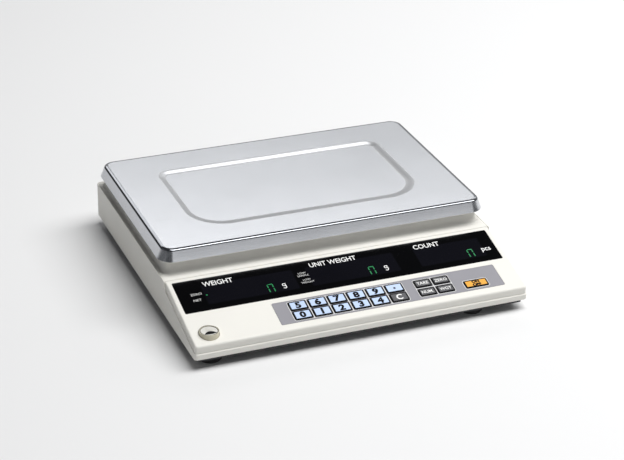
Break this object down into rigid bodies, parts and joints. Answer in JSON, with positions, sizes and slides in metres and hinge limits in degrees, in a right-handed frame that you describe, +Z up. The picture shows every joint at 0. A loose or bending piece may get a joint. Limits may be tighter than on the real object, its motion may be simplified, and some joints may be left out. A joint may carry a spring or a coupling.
{
  "type": "counting scale",
  "caption": "Low bench counting scale with a lift-off steel platter on a load cell, a sloping console with a display window and pressing keys, a bubble level and levelling feet.",
  "frame": {"origin": "floor level under the middle of the scale's footprint", "axes": "+X to the operator's right, +Y away from the operator, +Z up"},
  "size_m": [0.35, 0.322, 0.0747],
  "materials": {
    "ivory_plastic": "fine-grained moulded ABS",
    "black_steel": "black powder coat",
    "zinc_steel": "zinc plated",
    "window_acrylic": "smoked polished acrylic",
    "circuit_board": "green solder mask",
    "display_glass": "vacuum-fluorescent tube glass",
    "keypad_grey": "satin printed film",
    "black_plastic": "moulded",
    "black_aluminium": "black anodised",
    "brass": "turned",
    "ribbon_grey": "flat cable",
    "cell_aluminium": "machined and anodised",
    "black_bolt": "black oxide",
    "cable_rubber": "cable sheath",
    "level_clear": "clear moulded ring",
    "level_glass": "liquid-filled vial",
    "cast_aluminium": "as cast",
    "rubber": "moulded rubber",
    "stainless": "fine satin stainless sheet",
    "key_blue": "satin key cap",
    "key_dark": "satin key cap",
    "key_orange": "satin key cap",
    "display_green": "lit segments",
    "print_white": "screen print",
    "print_black": "screen print"
  },
  "bodies": {
    "housing": {"lower_housing": "ivory_plastic", "chassis_tray": "black_steel", "cell_mount_plate": "zinc_steel", "foot_nuts": "zinc_steel", "top_cover": "ivory_plastic", "cover_screws": "zinc_steel", "display_window": "window_acrylic", "display_board": "circuit_board", "weight_tube": "display_glass", "unit_weight_tube": "display_glass", "count_tube": "display_glass", "keypad_panel": "keypad_grey", "keypad_board": "circuit_board", "key_switches": "black_plastic", "main_board": "circuit_board", "board_parts": "black_plastic", "heat_sink": "black_aluminium", "board_standoffs": "brass", "board_screws": "zinc_steel", "dc_jack": "black_plastic", "display_ribbon": "ribbon_grey", "keypad_ribbon": "ribbon_grey", "load_cell": "cell_aluminium", "cell_spacer_lower": "zinc_steel", "cell_bolts_lower": "black_bolt", "load_cell_cable": "cable_rubber", "overload_stops": "zinc_steel", "level_cup": "level_clear", "level_vial": "level_glass"},
    "weigh_frame": {"spider": "cast_aluminium", "cell_spacer_upper": "zinc_steel", "cell_bolts_upper": "black_bolt", "pan_cushions": "rubber"},
    "platter": {"platter": "stainless"},
    "key_0": {"key_0": "key_blue"},
    "key_1": {"key_1": "key_blue"},
    "key_2": {"key_2": "key_blue"},
    "key_3": {"key_3": "key_blue"},
    "key_4": {"key_4": "key_blue"},
    "key_5": {"key_5": "key_blue"},
    "key_6": {"key_6": "key_blue"},
    "key_7": {"key_7": "key_blue"},
    "key_8": {"key_8": "key_blue"},
    "key_9": {"key_9": "key_blue"},
    "key_point": {"key_point": "key_blue"},
    "key_clear": {"key_clear": "key_dark"},
    "key_tare": {"key_tare": "key_dark"},
    "key_zero": {"key_zero": "key_dark"},
    "key_number": {"key_number": "key_dark"},
    "key_weight": {"key_weight": "key_dark"},
    "key_power": {"key_power": "key_orange"},
    "foot_front_left": {"foot_pad_front_left": "rubber", "foot_stud_front_left": "zinc_steel"},
    "foot_front_right": {"foot_pad_front_right": "rubber", "foot_stud_front_right": "zinc_steel"},
    "foot_rear_left": {"foot_pad_rear_left": "rubber", "foot_stud_rear_left": "zinc_steel"},
    "foot_rear_right": {"foot_pad_rear_right": "rubber", "foot_stud_rear_right": "zinc_steel"}
  },
  "joints": [
    {"name": "weigh_travel", "type": "slide", "parent": "housing", "child": "weigh_frame", "axis": [0, 0, 1], "range_m": [-0.0008, 0], "stiffness_N_per_m": 150000, "springref_m": 0.0001, "deforming": ["load_cell"]},
    {"name": "platter_lift", "type": "slide", "parent": "weigh_frame", "child": "platter", "axis": [0, 0, 1], "range_m": [0, 0.08]},
    {"name": "key_0_press", "type": "slide", "parent": "housing", "child": "key_0", "axis": [0, 0.2445, -0.9696], "range_m": [0, 0.0005], "stiffness_N_per_m": 1200, "springref_m": -0.0004},
    {"name": "key_1_press", "type": "slide", "parent": "housing", "child": "key_1", "axis": [0, 0.2445, -0.9696], "range_m": [0, 0.0005], "stiffness_N_per_m": 1200, "springref_m": -0.0004},
    {"name": "key_2_press", "type": "slide", "parent": "housing", "child": "key_2", "axis": [0, 0.2445, -0.9696], "range_m": [0, 0.0005], "stiffness_N_per_m": 1200, "springref_m": -0.0004},
    {"name": "key_3_press", "type": "slide", "parent": "housing", "child": "key_3", "axis": [0, 0.2445, -0.9696], "range_m": [0, 0.0005], "stiffness_N_per_m": 1200, "springref_m": -0.0004},
    {"name": "key_4_press", "type": "slide", "parent": "housing", "child": "key_4", "axis": [0, 0.2445, -0.9696], "range_m": [0, 0.0005], "stiffness_N_per_m": 1200, "springref_m": -0.0004},
    {"name": "key_5_press", "type": "slide", "parent": "housing", "child": "key_5", "axis": [0, 0.2445, -0.9696], "range_m": [0, 0.0005], "stiffness_N_per_m": 1200, "springref_m": -0.0004},
    {"name": "key_6_press", "type": "slide", "parent": "housing", "child": "key_6", "axis": [0, 0.2445, -0.9696], "range_m": [0, 0.0005], "stiffness_N_per_m": 1200, "springref_m": -0.0004},
    {"name": "key_7_press", "type": "slide", "parent": "housing", "child": "key_7", "axis": [0, 0.2445, -0.9696], "range_m": [0, 0.0005], "stiffness_N_per_m": 1200, "springref_m": -0.0004},
    {"name": "key_8_press", "type": "slide", "parent": "housing", "child": "key_8", "axis": [0, 0.2445, -0.9696], "range_m": [0, 0.0005], "stiffness_N_per_m": 1200, "springref_m": -0.0004},
    {"name": "key_9_press", "type": "slide", "parent": "housing", "child": "key_9", "axis": [0, 0.2445, -0.9696], "range_m": [0, 0.0005], "stiffness_N_per_m": 1200, "springref_m": -0.0004},
    {"name": "key_point_press", "type": "slide", "parent": "housing", "child": "key_point", "axis": [0, 0.2445, -0.9696], "range_m": [0, 0.0005], "stiffness_N_per_m": 1200, "springref_m": -0.0004},
    {"name": "key_clear_press", "type": "slide", "parent": "housing", "child": "key_clear", "axis": [0, 0.2445, -0.9696], "range_m": [0, 0.0005], "stiffness_N_per_m": 1200, "springref_m": -0.0004},
    {"name": "key_tare_press", "type": "slide", "parent": "housing", "child": "key_tare", "axis": [0, 0.2445, -0.9696], "range_m": [0, 0.0005], "stiffness_N_per_m": 1200, "springref_m": -0.0004},
    {"name": "key_zero_press", "type": "slide", "parent": "housing", "child": "key_zero", "axis": [0, 0.2445, -0.9696], "range_m": [0, 0.0005], "stiffness_N_per_m": 1200, "springref_m": -0.0004},
    {"name": "key_number_press", "type": "slide", "parent": "housing", "child": "key_number", "axis": [0, 0.2445, -0.9696], "range_m": [0, 0.0005], "stiffness_N_per_m": 1200, "springref_m": -0.0004},
    {"name": "key_weight_press", "type": "slide", "parent": "housing", "child": "key_weight", "axis": [0, 0.2445, -0.9696], "range_m": [0, 0.0005], "stiffness_N_per_m": 1200, "springref_m": -0.0004},
    {"name": "key_power_press", "type": "slide", "parent": "housing", "child": "key_power", "axis": [0, 0.2445, -0.9696], "range_m": [0, 0.0005], "stiffness_N_per_m": 1200, "springref_m": -0.0004},
    {"name": "foot_front_left_level", "type": "slide", "parent": "housing", "child": "foot_front_left", "axis": [0, 0, -1], "range_m": [-0.0012, 0.006]},
    {"name": "foot_front_right_level", "type": "slide", "parent": "housing", "child": "foot_front_right", "axis": [0, 0, -1], "range_m": [-0.0012, 0.006]},
    {"name": "foot_rear_left_level", "type": "slide", "parent": "housing", "child": "foot_rear_left", "axis": [0, 0, -1], "range_m": [-0.0012, 0.006]},
    {"name": "foot_rear_right_level", "type": "slide", "parent": "housing", "child": "foot_rear_right", "axis": [0, 0, -1], "range_m": [-0.0012, 0.006]}
  ]
}
